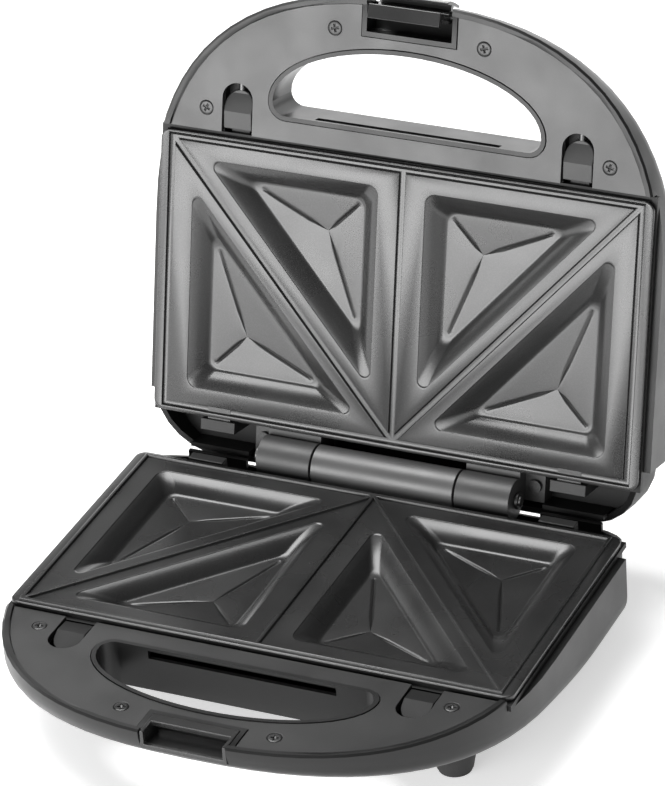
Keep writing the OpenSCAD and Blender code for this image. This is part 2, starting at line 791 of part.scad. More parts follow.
module rear_clips()
    both_sides() difference() {
        block(tab_x - tab_w / 2 - 3, tab_x + tab_w / 2 + 3, deck_rear - 5.5, deck_rear - 0.2, rim_d, floor_d);
        block(tab_x - tab_w / 2 - 0.4, tab_x + tab_w / 2 + 0.4, deck_rear - 2.6, deck_rear + cut,
              deck_d - tab_t - 0.2, deck_d + 0.2);
        block(tab_x - 3, tab_x + 3, deck_rear - 6, deck_rear + cut, 7, 12);
    }

module base_rear_clips() color([0.08, 0.08, 0.085]) in_base() rear_clips();
module lid_rear_clips() color([0.08, 0.08, 0.085]) in_lid() rear_clips();

module base_hinge()
    color([0.13, 0.13, 0.135]) in_base() difference() {
        union() {
            bar_x(-mid_barrel_half, mid_barrel_half, -hinge_back, 0, barrel_r);
            block(-mid_barrel_half, mid_barrel_half, arm_y - arm_half, arm_y + arm_half, arm_top_d, floor_d);
            block(-base_screw_x - 4.5, base_screw_x + 4.5, arm_y - arm_half, arm_y + arm_half,
                  floor_d - 2.5, floor_d);
        }
        bar_x(-mid_barrel_half - cut, mid_barrel_half + cut, -hinge_back, 0, pin_r + pin_seat);
        both_sides() post([base_screw_x, arm_y], screw_r + run_fit, floor_d - 4, floor_d + cut);
    }

module lid_hinge_arms()
    color([0.22, 0.22, 0.225]) in_lid() both_sides() difference() {
        union() {
            bar_x(knuckle_in, knuckle_out, -hinge_back, 0, barrel_r);
            block(knuckle_in, arm_out, arm_y - arm_half, arm_y + arm_half, arm_top_d, floor_d);
        }
        bar_x(knuckle_in - cut, knuckle_out + cut, -hinge_back, 0, pin_r + run_fit);
        block(knuckle_out, arm_out + cut, arm_y - arm_half - cut, arm_y + arm_half + cut, 0, floor_d - 8);
        post([lid_screw_x, arm_y], screw_r + run_fit, floor_d - 10, floor_d + cut);
    }

module hinge_screw(x, top)
    both_sides() {
        post([x, arm_y], screw_r, top - 0.1, floor_d + floor_t + 3);
        post([x, arm_y], 3, top - 2, top);
    }

module base_hinge_screws() color([0.5, 0.5, 0.5]) in_base() hinge_screw(base_screw_x, floor_d - 2.5);
module lid_hinge_screws() color([0.5, 0.5, 0.5]) in_lid() hinge_screw(lid_screw_x, floor_d - 8);

module hinge_pin()
    color([0.6, 0.6, 0.6]) in_base() union() {
        bar_x(-knuckle_out - 3, knuckle_out + 3, -hinge_back, 0, pin_r);
        bar_x(-knuckle_out - 3, -knuckle_out - 0.5, -hinge_back, 0, pin_r + 1.8);
        bar_x(knuckle_out + 0.5, knuckle_out + 2, -hinge_back, 0, pin_r + 1.2);
    }

module foot(xy, top)
    translate([xy.x, xy.y, pad_t - foot_d])
        cylinder(r1 = foot_r, r2 = foot_r + 4, h = foot_d - pad_t - top);

module front_feet()
    color([0.1, 0.1, 0.1]) in_base() both_sides() union() {
        difference() {
            foot(front_foot, front_foot_top_d);
            cover_outside();
        }
        post(front_foot, neck_r, front_neck_d, half_h);
    }

module rear_feet()
    color([0.1, 0.1, 0.1]) in_base() both_sides() union() {
        difference() {
            foot(rear_foot, foot_top_d);
            rear_block(0, half_h, deck_d);
        }
        post(rear_foot, neck_r, foot_top_d + 4, half_h);
    }

module foot_pads()
    color([0.03, 0.03, 0.03]) in_base() both_sides()
        for (p = [front_foot, rear_foot]) post(p, foot_r - 0.6, foot_d - pad_t, foot_d);

// Release tongues and their springs

module tongue() {
    r = tongue_w / 2;
    end = tongue_rear + tongue_l;
    intersection() {
        slab(0, tongue_low_d) translate([tongue_x, 0]) union() {
            translate([0, end - r]) circle(r);
            translate([-r, tongue_rear]) square([2 * r, tongue_l - r]);
        }
        translate([tongue_x - r, 0, 0]) rotate([90, 0, 90]) linear_extrude(2 * r)
            polygon([[tongue_rear - cut, -2.3], [tongue_rear + 8, -1.6], [end - 1.5, -5],
                     [end + cut, -5.2], [end + cut, -tongue_low_d], [tongue_rear - cut, -tongue_low_d]]);
    }
    block(tongue_x - nose_half, tongue_x + nose_half, skirt_front - 1.2, tongue_rear + cut,
          nose_top_d, tongue_low_d);
}

module tongue_spring()
    bar_y(tongue_x, tongue_rear + tongue_l, tongue_rear + tongue_l + spring_l, 6.2, spring_r);

module lower_release_left() color([0.1, 0.1, 0.105]) in_base() mirror([1, 0, 0]) tongue();
module lower_release_right() color([0.1, 0.1, 0.105]) in_base() tongue();
module upper_release_left() color([0.17, 0.17, 0.175]) in_lid() mirror([1, 0, 0]) tongue();
module upper_release_right() color([0.17, 0.17, 0.175]) in_lid() tongue();
module lower_spring_left() color([0.7, 0.7, 0.7]) in_base() mirror([1, 0, 0]) tongue_spring();
module lower_spring_right() color([0.7, 0.7, 0.7]) in_base() tongue_spring();
module upper_spring_left() color([0.7, 0.7, 0.7]) in_lid() mirror([1, 0, 0]) tongue_spring();
module upper_spring_right() color([0.7, 0.7, 0.7]) in_lid() tongue_spring();

// Latch and catch

module base_catch()
    color([0.14, 0.14, 0.145]) in_base() union() {
        half = notch_w / 2 - slide_gap;
        inner = latch_w / 2 + 1.2;
        block(-half, half, notch_rear + slide_gap, latch_y + 4.5, base_notch_d - cut, base_notch_d);
        block(-inner - 0.1, inner + 0.1, notch_rear + slide_gap, latch_y - 4.2, 0.6, catch_bar_d);
        block(-half, half, latch_y + 2.5, latch_y + 4.5, base_notch_d - 2.2, base_notch_d);
        both_sides() block(inner, half, notch_rear + slide_gap, latch_y + 4.5, 0.6, base_notch_d);
    }

module latch_profile()
    difference() {
        union() {
            circle(latch_barrel_r);
            translate([-1.9, 0]) square([3, latch_d + hook_tip]);
            translate([-5.3, latch_d + catch_bar_d + 0.6]) square([5, hook_tip - catch_bar_d - 0.6]);
            translate([-1, -1.5]) square([6.4, 3]);
            polygon([[4.4, -8], [5.6, -8.6], [6.6, -3], [6.9, 2], [6, 5.8], [4.8, 5.8], [5.2, 0]]);
        }
        circle(latch_pin_r + run_fit);
    }

module latch_lever()
    color([0.12, 0.12, 0.125]) in_lid() translate([-latch_w / 2, latch_y, -latch_d])
        rotate([-latch_swing, 0, 0]) rotate([90, 0, 90]) linear_extrude(latch_w) latch_profile();

module latch_pin()
    color([0.6, 0.6, 0.6]) in_lid()
        bar_x(-notch_w / 2 - wall_t, notch_w / 2 + wall_t, latch_y, latch_d, latch_pin_r);

base_cover();
base_housing();
base_panel();
base_panel_screws();
base_catch();
lower_plate();
lower_element();
lower_element_clamps();
lower_reflector();
base_thermostat();
thermal_fuse();
terminal_block();
base_wiring();
lead_inlet();
base_rear_clips();
base_hinge();
base_hinge_screws();
hinge_pin();
base_screws();
front_feet();
rear_feet();
foot_pads();
lower_release_left();
lower_release_right();
lower_spring_left();
lower_spring_right();
lid_cover();
lid_housing();
lid_panel();
lid_panel_screws();
upper_plate();
upper_element();
upper_element_clamps();
upper_reflector();
lid_thermostat();
indicator_lamps();
lamp_lenses();
lid_wiring();
lid_rear_clips();
lid_hinge_arms();
lid_hinge_screws();
lid_screws();
latch_pin();
upper_release_left();
upper_release_right();
upper_spring_left();
upper_spring_right();
latch_lever();
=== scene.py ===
# %% [markdown]
# # A sandwich toaster, dressed around its working model
#
# The working model gives every hinge, slide and screw at its real place and size. This lesson keeps
# that model as a fixed frame, gives each part the finish that it has on the real toaster, and
# replaces the parts whose soft edges the working model leaves sharp.

import json
from math import atan2, cos, hypot, pi, radians, sin, tan

import bmesh
import bpy
from mathutils import Matrix, Vector

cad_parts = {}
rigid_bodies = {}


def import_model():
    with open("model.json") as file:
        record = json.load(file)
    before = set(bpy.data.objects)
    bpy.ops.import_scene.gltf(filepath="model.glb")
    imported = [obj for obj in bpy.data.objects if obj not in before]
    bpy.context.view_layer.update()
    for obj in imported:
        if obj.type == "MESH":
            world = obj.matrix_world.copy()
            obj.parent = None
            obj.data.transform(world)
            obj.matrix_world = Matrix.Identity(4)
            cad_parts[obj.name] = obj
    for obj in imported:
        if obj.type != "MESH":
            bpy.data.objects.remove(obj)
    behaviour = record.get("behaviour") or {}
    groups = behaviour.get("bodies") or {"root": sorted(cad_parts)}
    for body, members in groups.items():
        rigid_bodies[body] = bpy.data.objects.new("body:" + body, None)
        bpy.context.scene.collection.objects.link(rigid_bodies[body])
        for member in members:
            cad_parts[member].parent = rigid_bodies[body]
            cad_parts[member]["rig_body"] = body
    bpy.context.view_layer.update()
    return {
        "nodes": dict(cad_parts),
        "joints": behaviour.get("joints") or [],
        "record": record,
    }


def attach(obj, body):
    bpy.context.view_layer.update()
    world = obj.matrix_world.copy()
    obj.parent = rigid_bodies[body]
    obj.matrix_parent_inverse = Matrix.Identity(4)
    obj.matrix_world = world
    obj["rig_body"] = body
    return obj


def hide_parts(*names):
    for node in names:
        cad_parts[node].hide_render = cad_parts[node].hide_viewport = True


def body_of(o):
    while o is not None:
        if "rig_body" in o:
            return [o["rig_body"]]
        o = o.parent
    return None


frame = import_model()
nodes = frame["nodes"]
joints = {joint["name"]: joint for joint in frame["joints"]}
print("nodes:", len(nodes), "joints:", len(joints))

# %% [markdown]
# ## Two halves, one drawing
#
# The toaster is two equal shells on one hinge, so each piece is drawn once, in a half frame: X
# across, Y forward from the plate's rear edge, Z up to the plane where the halves meet. Two matrices
# then put the drawing in the base or in the open lid. The base's matrix mirrors, so its faces are
# turned round afterwards to point outwards again.

# %% Half frames
mm = 0.001
hinge_at = Vector(joints["lid_hinge"]["pos_m"])
lid_open = radians(joints["lid_hinge"]["range_deg"][1])
hinge_back = 13.5 * mm
to_hinge = Matrix.Translation((0, hinge_back, 0))
half_frames = {
    "root": Matrix.Translation(hinge_at) @ Matrix.Diagonal((1, -1, 1, 1)) @ to_hinge,
    "lid": Matrix.Translation(hinge_at) @ Matrix.Rotation(pi - lid_open, 4, "X") @ to_hinge,
}
print("the lid stands open at", round(lid_open * 180 / pi, 1), "degrees")

# %% [markdown]
# ## The camera
#
# The photograph is taken from the front right, a little above the toaster and from far away, which
# keeps its lines almost parallel. A long lens on a distant camera gives the same calm perspective,
# and a slight roll follows the photograph's tilt.

# %% A new object in the scene
def new_object(name, data):
    thing = bpy.data.objects.new(name, data)
    bpy.context.scene.collection.objects.link(thing)
    return thing


# %% Camera
image_size = (665, 786)
camera_from_hinge = Vector((782.9, -1671.5, 1127.9)) * mm
camera_azimuth = radians(25.80)
camera_elevation = radians(30.38)
camera_roll = radians(3.90)
focal_px = 4814.4
sensor = 36

camera_data = bpy.data.cameras.new("camera")
camera_data.sensor_width = sensor
camera_data.lens = focal_px / max(image_size) * sensor
camera_data.clip_end = 50
camera = new_object("camera", camera_data)
look = Vector((-sin(camera_azimuth) * cos(camera_elevation),
               cos(camera_azimuth) * cos(camera_elevation),
               -sin(camera_elevation)))
camera.matrix_world = (Matrix.Translation(hinge_at + camera_from_hinge)
                       @ look.to_track_quat("-Z", "Y").to_matrix().to_4x4()
                       @ Matrix.Rotation(-camera_roll, 4, "Z"))
bpy.context.scene.camera = camera
print("lens", round(camera_data.lens, 1), "mm")

# %% [markdown]
# ## Floor and light
#
# The toaster stands on a white floor, which glows a little by itself, in a dim room. The front
# softbox stands low and a little to the left, just where the open lid mirrors the camera: the lid's
# plate shines grey, and the pocket walls that look elsewhere stay dark. The base plate mirrors the
# dark lid, and its coating is painted darker than the lid plate's as painted shade, so it stays
# nearly black. A softbox overhead lights what faces up, and a weak fill in front on the right, a
# strip on the left and a wide lamp behind light the other sides.

# %% Floor and lamps
def add_floor(size, colour, glow):
    mesh = bpy.data.meshes.new("floor")
    edge = size / 2
    corners = [(-edge, -edge, 0), (edge, -edge, 0), (edge, edge, 0), (-edge, edge, 0)]
    mesh.from_pydata(corners, [], [(0, 1, 2, 3)])
    material = bpy.data.materials.new("floor_paper")
    material.use_nodes = True
    shader = material.node_tree.nodes["Principled BSDF"]
    shader.inputs["Base Color"].default_value = (*colour, 1)
    shader.inputs["Roughness"].default_value = 0.9
    shader.inputs["Specular IOR Level"].default_value = 0.1
    shader.inputs["Emission Color"].default_value = (1, 1, 1, 1)
    shader.inputs["Emission Strength"].default_value = glow
    mesh.materials.append(material)
    new_object("floor", mesh)


def add_lamp(name, place, target, size, power):
    data = bpy.data.lights.new(name, "AREA")
    data.shape = "RECTANGLE"
    data.size, data.size_y = size
    data.energy = power
    lamp = new_object(name, data)
    lamp.location = place
    lamp.rotation_euler = (Vector(target) - Vector(place)).to_track_quat("-Z", "Y").to_euler()
    lamp.visible_camera = False


add_floor(size=12, colour=(0.9, 0.9, 0.9), glow=0.5)
world = bpy.data.worlds.new("studio")
world.use_nodes = True
world.node_tree.nodes["Background"].inputs["Color"].default_value = (1, 1, 1, 1)
world.node_tree.nodes["Background"].inputs["Strength"].default_value = 0.2
bpy.context.scene.world = world
bpy.context.scene.view_settings.view_transform = "Standard"
add_lamp("front_softbox", (-0.62, -1.55, 0.3), target=(0, 0, 0.15), size=(1.5, 0.8), power=30)
add_lamp("right_fill", (0.6, -1.5, 0.32), target=(0, 0, 0.15), size=(1.0, 0.8), power=4)
add_lamp("left_strip", (-1.5, 0.1, 0.7), target=(0, 0, 0.1), size=(0.4, 1.2), power=4)
add_lamp("top_softbox", (-0.6, 0.3, 1.6), target=(0, 0, 0.1), size=(1.2, 1.0), power=32)
add_lamp("backdrop", (-0.6, 2.4, 0.5), target=(0, 0, 0.2), size=(3.6, 1.0), power=22)

# %% [markdown]
# ## Finishes
#
# Moulded plastic is never one flat colour: the mould's spark-eroded grain scatters the light, the
# tone drifts a little across a big part, and fingers leave it smoother in places. One node group
# makes that grain for every plastic part, and each material sets its own scale and depth. With other
# values the same group gives the metal, rubber and ceramic parts their slight unevenness.

# %% Helpers for node trees
def new_group(name, inputs, outputs):
    group = bpy.data.node_groups.new(name, "ShaderNodeTree")
    for title, kind, value in inputs:
        socket = group.interface.new_socket(title, in_out="INPUT", socket_type=kind)
        socket.default_value = value
    for title, kind in outputs:
        group.interface.new_socket(title, in_out="OUTPUT", socket_type=kind)
    return group, group.nodes.new("NodeGroupInput"), group.nodes.new("NodeGroupOutput")


def feed(tree, socket, source):
    if isinstance(source, (int, float)):
        socket.default_value = source
    else:
        tree.links.new(source, socket)


def noise(tree, coordinates, scale, detail):
    texture = tree.nodes.new("ShaderNodeTexNoise")
    texture.inputs["Detail"].default_value = detail
    tree.links.new(coordinates, texture.inputs["Vector"])
    feed(tree, texture.inputs["Scale"], scale)
    return texture.outputs["Fac"]


def remap(tree, value, low, high, out_low, out_high):
    node = tree.nodes.new("ShaderNodeMapRange")
    for socket, source in (("From Min", low), ("From Max", high), ("To Min", out_low), ("To Max", out_high)):
        feed(tree, node.inputs[socket], source)
    tree.links.new(value, node.inputs["Value"])
    return node.outputs["Result"]


def math(tree, kind, a, b):
    node = tree.nodes.new("ShaderNodeMath")
    node.operation = kind
    for socket, source in zip(node.inputs, (a, b)):
        feed(tree, socket, source)
    return node.outputs[0]


def blend(tree, a, share_a, b, share_b):
    return math(tree, "ADD", math(tree, "MULTIPLY", a, share_a), math(tree, "MULTIPLY", b, share_b))


def mix(tree, factor, a, b):
    node = tree.nodes.new("ShaderNodeMix")
    node.data_type = "RGBA"
    for socket, source in ((node.inputs[0], factor), (node.inputs[6], a), (node.inputs[7], b)):
        tree.links.new(source, socket)
    return node.outputs[2]


# %% Moulded grain, for every part but the plates
def build_moulded_grain():
    group, inside, outside = new_group(
        "moulded_grain",
        [("Colour", "NodeSocketColor", (0.05, 0.05, 0.05, 1)),
         ("Worn Colour", "NodeSocketColor", (0.08, 0.08, 0.08, 1)),
         ("Grain Scale", "NodeSocketFloat", 2500.0),
         ("Rough Low", "NodeSocketFloat", 0.4),
         ("Rough High", "NodeSocketFloat", 0.5)],
        [("Colour", "NodeSocketColor"), ("Roughness", "NodeSocketFloat"), ("Height", "NodeSocketFloat")])
    place = group.nodes.new("ShaderNodeTexCoord").outputs["Object"]
    drift = noise(group, place, 14, 3)
    handled = noise(group, place, 45, 4)
    grain = noise(group, place, inside.outputs["Grain Scale"], 2)
    worn = remap(group, blend(group, drift, 0.5, grain, 0.5), 0.35, 0.75, 0.0, 1.0)
    group.links.new(mix(group, worn, inside.outputs["Colour"], inside.outputs["Worn Colour"]),
                    outside.inputs["Colour"])
    rough = remap(group, handled, 0.3, 0.7, inside.outputs["Rough Low"], inside.outputs["Rough High"])
    group.links.new(rough, outside.inputs["Roughness"])
    group.links.new(grain, outside.inputs["Height"])
    return group


# %% [markdown]
# The non-stick coating is sprayed on cast aluminium in two coats. It dries with a fine mottle of
# lighter specks and a slight orange peel, which breaks up the soft reflections in the pockets.

# %% Sprayed coating, for the plates
def build_sprayed_coating():
    group, inside, outside = new_group(
        "sprayed_coating",
        [("Colour", "NodeSocketColor", (0.03, 0.03, 0.03, 1)),
         ("Speck Colour", "NodeSocketColor", (0.08, 0.08, 0.08, 1)),
         ("Speck Scale", "NodeSocketFloat", 1800.0),
         ("Rough Low", "NodeSocketFloat", 0.3),
         ("Rough High", "NodeSocketFloat", 0.45)],
        [("Colour", "NodeSocketColor"), ("Roughness", "NodeSocketFloat"), ("Height", "NodeSocketFloat")])
    place = group.nodes.new("ShaderNodeTexCoord").outputs["Object"]
    specks = noise(group, place, inside.outputs["Speck Scale"], 1)
    peel = noise(group, place, 600, 2)
    clouds = noise(group, place, 25, 3)
    mottle = remap(group, blend(group, specks, 0.75, clouds, 0.25), 0.45, 0.7, 0.0, 1.0)
    group.links.new(mix(group, mottle, inside.outputs["Colour"], inside.outputs["Speck Colour"]),
                    outside.inputs["Colour"])
    rough = remap(group, clouds, 0.3, 0.7, inside.outputs["Rough Low"], inside.outputs["Rough High"])
    group.links.new(rough, outside.inputs["Roughness"])
    group.links.new(math(group, "ADD", math(group, "MULTIPLY", specks, 0.4), peel), outside.inputs["Height"])
    return group


grained = build_moulded_grain()
coated = build_sprayed_coating()
print("shared finishes:", [g.name for g in bpy.data.node_groups])


# %% [markdown]
# A finish is a Principled shader fed by one of the shared groups. What is the same all over, such as
# the metal, the coat and its gloss, is set on the shader itself. Each finish is listed as its name,
# its group, the two colours between which it drifts, the scale of its grain, the lowest and highest
# roughness, the height of its bumps in millimetres and what is set on the shader.

# %% Materials
bump_strength = 0.6


def finish(name, group, colour, second, scale, rough, bump, sockets):
    material = bpy.data.materials.new(name)
    material.use_nodes = True
    tree = material.node_tree
    shader = tree.nodes["Principled BSDF"]
    detail = tree.nodes.new("ShaderNodeGroup")
    detail.node_tree = group
    detail.inputs[0].default_value = (*colour, 1)
    detail.inputs[1].default_value = (*second, 1)
    detail.inputs[2].default_value = scale
    detail.inputs[3].default_value, detail.inputs[4].default_value = rough
    bumps = tree.nodes.new("ShaderNodeBump")
    bumps.inputs["Strength"].default_value = bump_strength
    bumps.inputs["Distance"].default_value = bump * mm
    tree.links.new(detail.outputs["Colour"], shader.inputs["Base Color"])
    tree.links.new(detail.outputs["Roughness"], shader.inputs["Roughness"])
    tree.links.new(detail.outputs["Height"], bumps.inputs["Height"])
    tree.links.new(bumps.outputs["Normal"], shader.inputs["Normal"])
    for socket, value in sockets.items():
        shader.inputs[socket].default_value = value
    return material


def grey(value, warm=0.0):
    return (value * (1 + warm), value, value * (1 - warm))


finishes = [
    ("gloss_shell", grained, grey(0.008), grey(0.012), 1400, (0.3, 0.38), 0.004,
     {"Specular IOR Level": 0.38}),
    ("black_housing", grained, grey(0.006), grey(0.012), 2200, (0.42, 0.55), 0.02,
     {"Specular IOR Level": 0.3}),
    ("base_panel_matt", grained, grey(0.011), grey(0.018), 2600, (0.34, 0.44), 0.03,
     {"Specular IOR Level": 0.6}),
    ("lid_panel_matt", grained, grey(0.03), grey(0.04), 2600, (0.36, 0.46), 0.03,
     {"Specular IOR Level": 0.7}),
    ("screw_steel", grained, grey(0.04), grey(0.08), 1200, (0.3, 0.42), 0.006, {"Metallic": 0.85}),
    ("latch_plastic", grained, grey(0.02), grey(0.03), 1500, (0.18, 0.28), 0.01, {"Coat Weight": 0.3}),
    # Both plates carry one coating. The lower plate's colours are set at about half the upper plate's, which
    # is painted shade on the base plate.
    ("lower_coating", coated, grey(0.01), grey(0.02), 1800, (0.24, 0.32), 0.008,
     {"Specular IOR Level": 0.75}),
    ("upper_coating", coated, grey(0.02), grey(0.036), 1800, (0.24, 0.32), 0.008,
     {"Specular IOR Level": 0.75}),
    ("element_sheath", grained, (0.3, 0.26, 0.22), (0.16, 0.13, 0.12), 300, (0.35, 0.55), 0.02,
     {"Metallic": 1.0}),
    ("bare_aluminium", grained, grey(0.6), grey(0.7), 900, (0.3, 0.45), 0.02, {"Metallic": 1.0}),
    ("thermostat_brass", grained, (0.55, 0.42, 0.2), (0.4, 0.3, 0.15), 700, (0.25, 0.4), 0.01,
     {"Metallic": 1.0}),
    ("ceramic_white", grained, grey(0.75, 0.03), grey(0.65, 0.04), 1500, (0.5, 0.65), 0.02, {}),
    ("wire_sleeve", grained, grey(0.6, 0.05), grey(0.45, 0.06), 4000, (0.7, 0.85), 0.1, {}),
    ("black_rubber", grained, grey(0.014), grey(0.03), 1800, (0.6, 0.8), 0.04, {}),
    ("clip_plastic", grained, grey(0.016), grey(0.024), 2200, (0.35, 0.5), 0.03, {}),
    ("hinge_plastic", grained, grey(0.07), grey(0.09), 2400, (0.32, 0.42), 0.03,
     {"Specular IOR Level": 0.8}),
    ("arm_plastic", grained, grey(0.055), grey(0.07), 2400, (0.35, 0.48), 0.03, {}),
    ("pin_steel", grained, grey(0.1), grey(0.16), 1200, (0.35, 0.45), 0.01, {"Metallic": 0.9}),
    ("lower_tongue_plastic", grained, grey(0.006), grey(0.012), 2400, (0.5, 0.6), 0.03,
     {"Specular IOR Level": 0.25}),
    ("upper_tongue_plastic", grained, grey(0.045), grey(0.055), 2400, (0.4, 0.5), 0.02, {}),
    ("lamp_glass", grained, (0.9, 0.5, 0.3), (0.8, 0.4, 0.2), 800, (0.05, 0.1), 0.005, {}),
    ("lens_plastic", grained, (0.5, 0.03, 0.02), (0.4, 0.02, 0.01), 900, (0.1, 0.18), 0.005,
     {"Coat Weight": 0.5}),
]
materials = {row[0]: finish(*row) for row in finishes}
print("materials:", len(materials))

# %% Dress the frame's own nodes
slot_of = {part["node"]: part["material_slot"] for part in frame["record"]["subparts"]}
for name, node in nodes.items():
    node.data.materials.clear()
    node.data.materials.append(materials[slot_of[name]])
print("dressed", len(slot_of), "nodes")

# %% [markdown]
# ## Pieces drawn in the half frame
#
# A piece is drawn in millimetres in the half frame and then carried to its place. Turning its faces
# outwards comes last, because the base's matrix mirrors. Edges that turn by more than a few tens of
# degrees stay sharp, and all others are shaded smooth.

# %% Carry a drawing to its body
weld = 0.002  # vertices closer than this, in millimetres, become one


def smooth(mesh, angle):
    mesh.polygons.foreach_set("use_smooth", [True] * len(mesh.polygons))
    mesh.set_sharp_from_angle(angle=radians(angle))


def piece_from(drawing, name, body, node, slot, angle):
    bmesh.ops.remove_doubles(drawing, verts=drawing.verts, dist=weld)
    bmesh.ops.transform(drawing, matrix=half_frames[body] @ Matrix.Scale(mm, 4), verts=drawing.verts)
    bmesh.ops.recalc_face_normals(drawing, faces=drawing.faces)
    mesh = bpy.data.meshes.new(name)
    drawing.to_mesh(mesh)
    drawing.free()
    smooth(mesh, angle)
    mesh.materials.append(materials[slot])
    piece = new_object(name, mesh)
    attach(piece, body)
    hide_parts(node)
    return piece


def loft(drawing, rings, closed=True):
    rows = [[drawing.verts.new(point) for point in ring] for ring in rings]
    count = len(rings[0])
    for low, high in zip(rows, rows[1:]):
        for j in range(count if closed else count - 1):
            k = (j + 1) % count
            drawing.faces.new((low[j], low[k], high[k], high[j]))
    return rows


def add_block(drawing, x, y, depth):
    corners = [(x[0], y[0]), (x[1], y[0]), (x[1], y[1]), (x[0], y[1])]
    rows = loft(drawing, [[(px, py, -d) for px, py in corners] for d in depth])
    for row in rows:
        drawing.faces.new(row)


# %% [markdown]
# ## The plates
#
# Each plate is one aluminium casting. Its four triangular pockets have walls that start gently at
# the lip, grow steep towards the foot and turn into the floor with a small radius. Three nearly flat
# floors fall to one low point, with a fine groove where two floors meet. On the lower plate a
# raised bead runs round each pocket, and the upper plate has the groove that the bead presses the
# bread into.
#
# A height map on a grid would leave steps on the slanting lines. Here every line is a row of
# vertices instead: rings run from the low point up the floor, over the wall, across the land and up
# to the bead's middle, where the next pocket's rings take over. A cell is the triangle that the
# bead's middle follows, with the triangle of the pocket's lip inside it. One half of a plate is
# drawn and then mirrored.

# %% The plate's sizes, in millimetres
plate_half, plate_l, plate_wall = 118.0, 132.0, 2.2
top = -0.3  # the land, seen from the plane where the halves meet
bead_x, bead_rear, bead_far = 112.5, 3.4, 129.5
pocket_inner_x, pocket_outer_x = 11.5, 101.5
pocket_rear_y, pocket_far_y = 12.6, 120.3
corner_bends = (5, 3, 3)  # one for each corner of a pocket
wall_lean, wall_h, pocket_h = 9.0, 6.6, 7.2
lip_slope, foot_slope, floor_slope = radians(20), radians(54), radians(2)
foot_bend, lip_drop = 1.9, 0.3
diagonal_land = 6.9
diagonal_slope = (bead_far - bead_rear) / bead_x
diagonal_reach = diagonal_land * hypot(bead_x, bead_far - bead_rear) / bead_x


def diagonal_y(x, side):
    return bead_rear + x * diagonal_slope + side * diagonal_reach


def diagonal_x(y, side):
    return (y - bead_rear - side * diagonal_reach) / diagonal_slope


cells = {
    "front": ([(0, bead_far), (0, bead_rear), (bead_x, bead_far)],
              [(pocket_inner_x, pocket_far_y),
               (pocket_inner_x, diagonal_y(pocket_inner_x, 1)),
               (diagonal_x(pocket_far_y, 1), pocket_far_y)]),
    "rear": ([(bead_x, bead_rear), (bead_x, bead_far), (0, bead_rear)],
             [(pocket_outer_x, pocket_rear_y),
              (pocket_outer_x, diagonal_y(pocket_outer_x, -1)),
              (diagonal_x(pocket_rear_y, -1), pocket_rear_y)]),
}
for name, (cell, pocket) in cells.items():
    print(name, "pocket:", [tuple(round(c, 1) for c in corner) for corner in pocket])

# %% Profiles, as pairs of a distance and a height
bead_profile = [(0, 1.2), (0.5, 1.18), (0.74, 1.05), (0.84, 0.85), (0.92, 0.1), (1.0, 0.02), (1.25, 0)]
groove_profile = [(0, -1.6), (0.9, -1.54), (1.25, -1.3), (1.45, -0.6), (1.58, -0.12), (1.8, 0)]
lip_profile = [(-0.12, -0.1), (-0.22, -0.02), (-0.5, 0)]
rim_profile = [(0.42, 0), (0.2, -0.08), (0.06, -0.25), (0, -0.5), (0, -2.3), (0.1, -2.6), (0.3, -2.7)]
crease_profile = [(-1.6, 0), (-0.9, -0.03), (-0.55, -0.2), (-0.25, -0.5), (0, -0.62),
                  (0.25, -0.5), (0.55, -0.2), (0.9, -0.03), (1.6, 0)]
print("the bead stands", bead_profile[0][1], "mm high, the groove is", -groove_profile[0][1], "mm deep")


# %% Rings of a triangular pocket
def centre_of(triangle):
    a, b, c = (Vector(corner) for corner in triangle)
    sides = [(b - c).length, (c - a).length, (a - b).length]
    centre = (a * sides[0] + b * sides[1] + c * sides[2]) / sum(sides)
    return centre, abs((b - a).cross(c - a)) / sum(sides)


def drawn_in(triangle, inset, steps):
    centre, radius = centre_of(triangle)
    return [corner + (centre - corner) * (inset / radius)
            for corner in map(Vector, triangle) for _ in range(steps)]


def round_ring(triangle, inset, steps):
    centre, radius = centre_of(triangle)
    corners = [Vector(corner) for corner in triangle]
    ring = []
    for k, corner in enumerate(corners):
        bend = corner_bends[k]
        middle = corner + (centre - corner) * ((inset + bend) / radius)
        before = corner - corners[k - 1]
        after = corners[(k + 1) % 3] - corner
        start = atan2(-before.x, before.y)
        turn = (atan2(-after.x, after.y) - start) % (2 * pi)
        angles = [start + turn * m / (steps - 1) for m in range(steps)]
        ring += [middle + bend * Vector((cos(angle), sin(angle))) for angle in angles]
    return ring


def floor_ring(triangle, inset, offsets):
    widest = 0.3  # the crease's half width, as a share of what is left of the floor
    centre, radius = centre_of(triangle)
    corners = [corner + (centre - corner) * (inset / radius) for corner in map(Vector, triangle)]
    shrink = min(1, widest * (radius - inset) / max(offsets))
    ring = []
    for k, corner in enumerate(corners):
        back = (corners[k - 1] - corner).normalized()
        ahead = (corners[(k + 1) % 3] - corner).normalized()
        half_angle = back.angle(ahead) / 2
        ring += [corner + (back if offset < 0 else ahead) * (abs(offset) * shrink / sin(half_angle))
                 for offset in offsets]
    return ring


# %% The wall of a pocket, from its foot up to its lip
def wall_profile():
    slices, keep_every = 64, 3
    run = wall_lean / slices
    bend_from = wall_lean - foot_bend
    inset, depth, points = 0.0, 0.0, [(0.0, 0.0)]
    for step in range(slices):
        inset += run
        if inset < bend_from:
            angle = lip_slope + (foot_slope - lip_slope) * inset / bend_from
        else:
            angle = foot_slope + (floor_slope - foot_slope) * (inset - wall_lean + foot_bend) / foot_bend
        depth += run * tan(angle)
        if step % keep_every == 0 or inset > bend_from:
            points.append((inset, depth))
    return [(inset, lip_drop + d * (wall_h - lip_drop) / depth) for inset, d in reversed(points)]


